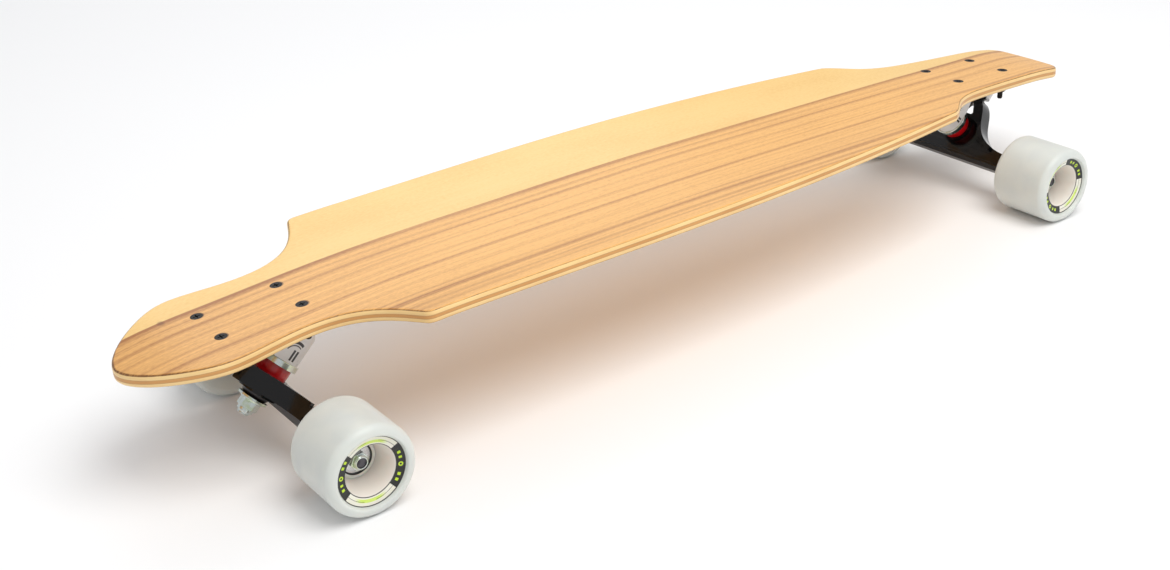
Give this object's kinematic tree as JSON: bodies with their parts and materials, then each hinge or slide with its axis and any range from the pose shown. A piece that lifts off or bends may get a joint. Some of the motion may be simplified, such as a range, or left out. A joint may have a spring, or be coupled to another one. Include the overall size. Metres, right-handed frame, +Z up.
{
  "type": "longboard skateboard",
  "caption": "Wooden cut-out longboard deck on two steering trucks with soft translucent wheels that spin on bearings.",
  "frame": {"origin": "on the ground under the middle of the deck", "axes": "+X from nose to tail, +Y across the board to the pale side, +Z up"},
  "size_m": [0.96, 0.28, 0.1225],
  "materials": {
    "pale_veneer": "clear lacquer over pale golden birch",
    "striped_veneer": "clear lacquer over tan wood with darker lengthwise stripes",
    "pale_core": "sealed pale ply edge",
    "tan_core": "sealed tan ply edge",
    "baseplate_white": "satin white powder coat",
    "cup_plastic": "moulded",
    "black_steel": "black oxide",
    "bright_zinc": "bright zinc plate",
    "bushing_red": "gloss cast urethane",
    "hanger_black": "gloss black powder coat",
    "axle_steel": "turned",
    "bearing_steel": "ground",
    "shield_steel": "pressed sheet",
    "wheel_urethane": "frosted translucent urethane",
    "wheel_core": "clear moulded nylon"
  },
  "bodies": {
    "board": {"top_veneer_pale": "pale_veneer", "top_veneer_striped": "striped_veneer", "upper_core_ply": "pale_core", "middle_core_ply": "tan_core", "lower_core_ply": "pale_core", "bottom_veneer": "tan_core", "front_baseplate": "baseplate_white", "front_pivot_cup": "cup_plastic", "front_mounting_screws": "black_steel", "front_mounting_nuts": "black_steel", "front_kingpin": "bright_zinc", "front_kingpin_nut": "bright_zinc", "front_cup_washers": "bright_zinc", "front_board_side_bushing": "bushing_red", "front_road_side_bushing": "bushing_red", "rear_baseplate": "baseplate_white", "rear_pivot_cup": "cup_plastic", "rear_mounting_screws": "black_steel", "rear_mounting_nuts": "black_steel", "rear_kingpin": "bright_zinc", "rear_kingpin_nut": "bright_zinc", "rear_cup_washers": "bright_zinc", "rear_board_side_bushing": "bushing_red", "rear_road_side_bushing": "bushing_red"},
    "front_hanger": {"front_hanger": "hanger_black", "front_axle": "axle_steel", "front_axle_nuts": "bright_zinc", "front_speed_rings": "bright_zinc", "front_inner_races": "bearing_steel", "front_bearing_spacers": "bearing_steel"},
    "front_left_wheel": {"front_left_wheel_tyre": "wheel_urethane", "front_left_wheel_core": "wheel_core", "front_left_outer_races": "bearing_steel", "front_left_bearing_shields": "shield_steel", "front_left_bearing_balls": "bearing_steel"},
    "front_right_wheel": {"front_right_wheel_tyre": "wheel_urethane", "front_right_wheel_core": "wheel_core", "front_right_outer_races": "bearing_steel", "front_right_bearing_shields": "shield_steel", "front_right_bearing_balls": "bearing_steel"},
    "rear_hanger": {"rear_hanger": "hanger_black", "rear_axle": "axle_steel", "rear_axle_nuts": "bright_zinc", "rear_speed_rings": "bright_zinc", "rear_inner_races": "bearing_steel", "rear_bearing_spacers": "bearing_steel"},
    "rear_left_wheel": {"rear_left_wheel_tyre": "wheel_urethane", "rear_left_wheel_core": "wheel_core", "rear_left_outer_races": "bearing_steel", "rear_left_bearing_shields": "shield_steel", "rear_left_bearing_balls": "bearing_steel"},
    "rear_right_wheel": {"rear_right_wheel_tyre": "wheel_urethane", "rear_right_wheel_core": "wheel_core", "rear_right_outer_races": "bearing_steel", "rear_right_bearing_shields": "shield_steel", "rear_right_bearing_balls": "bearing_steel"}
  },
  "joints": [
    {"name": "front_steer", "type": "hinge", "parent": "board", "child": "front_hanger", "pos_m": [-0.37372, 0, 0.05223], "axis": [-0.6896, 0, 0.7242], "range_deg": [-15, 15], "stiffness_Nm_per_rad": 60, "deforming": ["front_board_side_bushing", "front_road_side_bushing"]},
    {"name": "front_left_spin", "type": "hinge", "parent": "front_hanger", "child": "front_left_wheel", "pos_m": [-0.36311, 0, 0.035], "axis": [0, 1, 0], "continuous": true},
    {"name": "front_right_spin", "type": "hinge", "parent": "front_hanger", "child": "front_right_wheel", "pos_m": [-0.36311, 0, 0.035], "axis": [0, 1, 0], "continuous": true},
    {"name": "rear_steer", "type": "hinge", "parent": "board", "child": "rear_hanger", "pos_m": [0.37872, 0, 0.05223], "axis": [0.6896, 0, 0.7242], "range_deg": [-15, 15], "stiffness_Nm_per_rad": 60, "deforming": ["rear_board_side_bushing", "rear_road_side_bushing"]},
    {"name": "rear_left_spin", "type": "hinge", "parent": "rear_hanger", "child": "rear_left_wheel", "pos_m": [0.36811, 0, 0.035], "axis": [0, 1, 0], "continuous": true},
    {"name": "rear_right_spin", "type": "hinge", "parent": "rear_hanger", "child": "rear_right_wheel", "pos_m": [0.36811, 0, 0.035], "axis": [0, 1, 0], "continuous": true}
  ]
}
